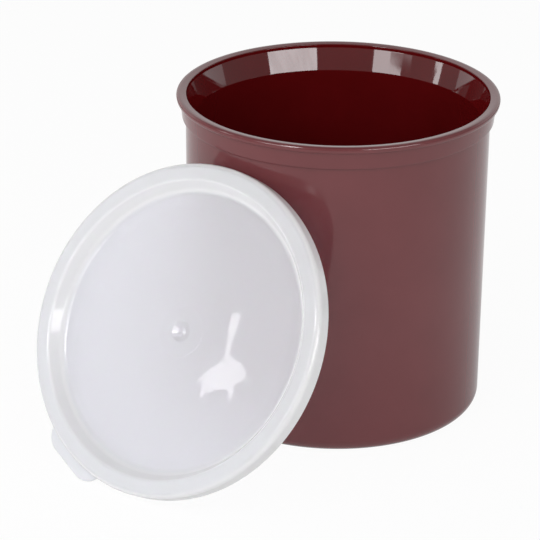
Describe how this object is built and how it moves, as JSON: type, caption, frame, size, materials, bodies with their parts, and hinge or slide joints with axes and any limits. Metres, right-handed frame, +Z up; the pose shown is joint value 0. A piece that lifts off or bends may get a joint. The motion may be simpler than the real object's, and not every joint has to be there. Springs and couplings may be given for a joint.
{
  "type": "round food storage crock with lid",
  "caption": "Round moulded plastic food crock with a flanged rim, and its translucent lid with a pull tab, taken off and leaning against it.",
  "frame": {"origin": "on the crock's axis, in the plane that its foot ring stands on", "axes": "+Z up along the crock's axis; the lid leans against the -Y side, and its pull tab points down towards -X"},
  "size_m": [0.1732, 0.2514, 0.1684],
  "materials": {
    "crock": "glossy moulded maroon",
    "lid": "satin translucent natural polyethylene"
  },
  "bodies": {
    "crock": {"crock": "crock"},
    "lid": {"lid": "lid"}
  },
  "joints": [
    {"name": "lid_lift", "type": "slide", "parent": "crock", "child": "lid", "axis": [0, -0.8695, 0.4939], "range_m": [0, 0.17]}
  ]
}
